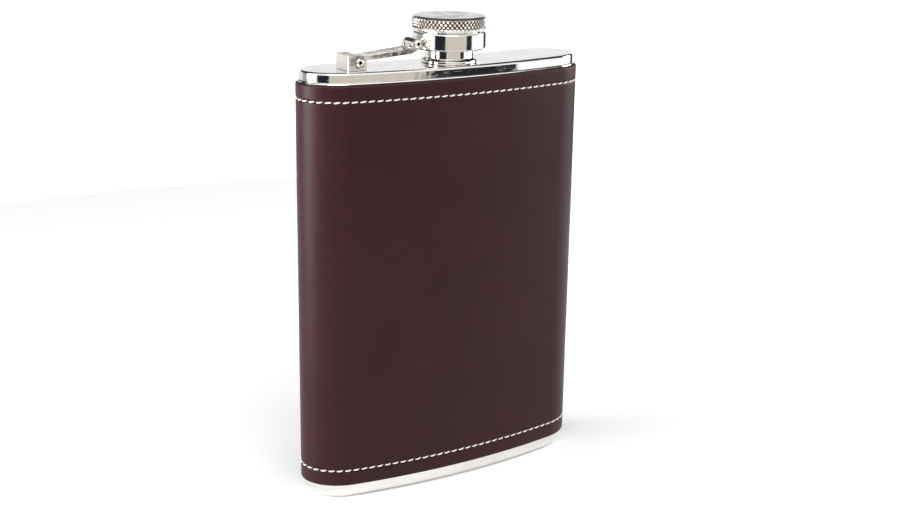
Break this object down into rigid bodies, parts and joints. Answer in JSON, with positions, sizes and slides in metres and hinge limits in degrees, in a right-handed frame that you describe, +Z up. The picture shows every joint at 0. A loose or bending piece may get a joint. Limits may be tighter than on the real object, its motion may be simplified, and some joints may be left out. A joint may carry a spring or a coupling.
{
  "type": "hip flask",
  "caption": "Curved steel hip flask in a stitched leather wrap, with a knurled screw cap held captive by a collar on a hinged arm.",
  "frame": {"origin": "middle of the overall box, at the height of the surface that the flask stands on", "axes": "+X across the flask to its right, away from the hinge, +Y from the convex side to the concave side, +Z up through the neck"},
  "size_m": [0.095, 0.0248, 0.1432],
  "materials": {
    "polished_steel": "mirror polished stainless sheet with faint handling marks",
    "turned_steel": "polished turned stainless steel",
    "plain_steel": "unpolished drawn and turned steel, mostly hidden",
    "leather": "smooth satin dark burgundy leather with painted edges",
    "thread": "waxed off-white sewing thread",
    "seal": "matt translucent silicone"
  },
  "bodies": {
    "flask": {"body_sleeve": "plain_steel", "shoulder_pan": "polished_steel", "base_pan": "polished_steel", "leather_wrap": "leather", "top_stitching": "thread", "bottom_stitching": "thread", "seam_stitching_left": "thread", "seam_stitching_right": "thread", "neck": "turned_steel", "hinge_bracket": "polished_steel", "lower_pin": "turned_steel"},
    "arm": {"arm": "polished_steel", "upper_pin": "turned_steel"},
    "collar": {"collar": "turned_steel"},
    "cap": {"cap_head": "turned_steel", "cap_barrel": "plain_steel", "cap_seal": "seal", "retaining_ring": "plain_steel"}
  },
  "joints": [
    {"name": "arm_swing", "type": "hinge", "parent": "flask", "child": "arm", "pos_m": [-0.0318, -0.00142, 0.1317], "axis": [0, -1, 0], "range_deg": [0, 110]},
    {"name": "collar_tilt", "type": "hinge", "parent": "arm", "child": "collar", "pos_m": [-0.0124, -0.00142, 0.1357], "axis": [0, -1, 0], "range_deg": [0, 55]},
    {"name": "cap_spin", "type": "hinge", "parent": "collar", "child": "cap", "pos_m": [0, -0.00142, 0.1405], "axis": [0, 0, 1], "continuous": true}
  ],
  "couplings": [
    {"joint": "collar_tilt", "follows": "arm_swing", "ratio": 0.5}
  ]
}
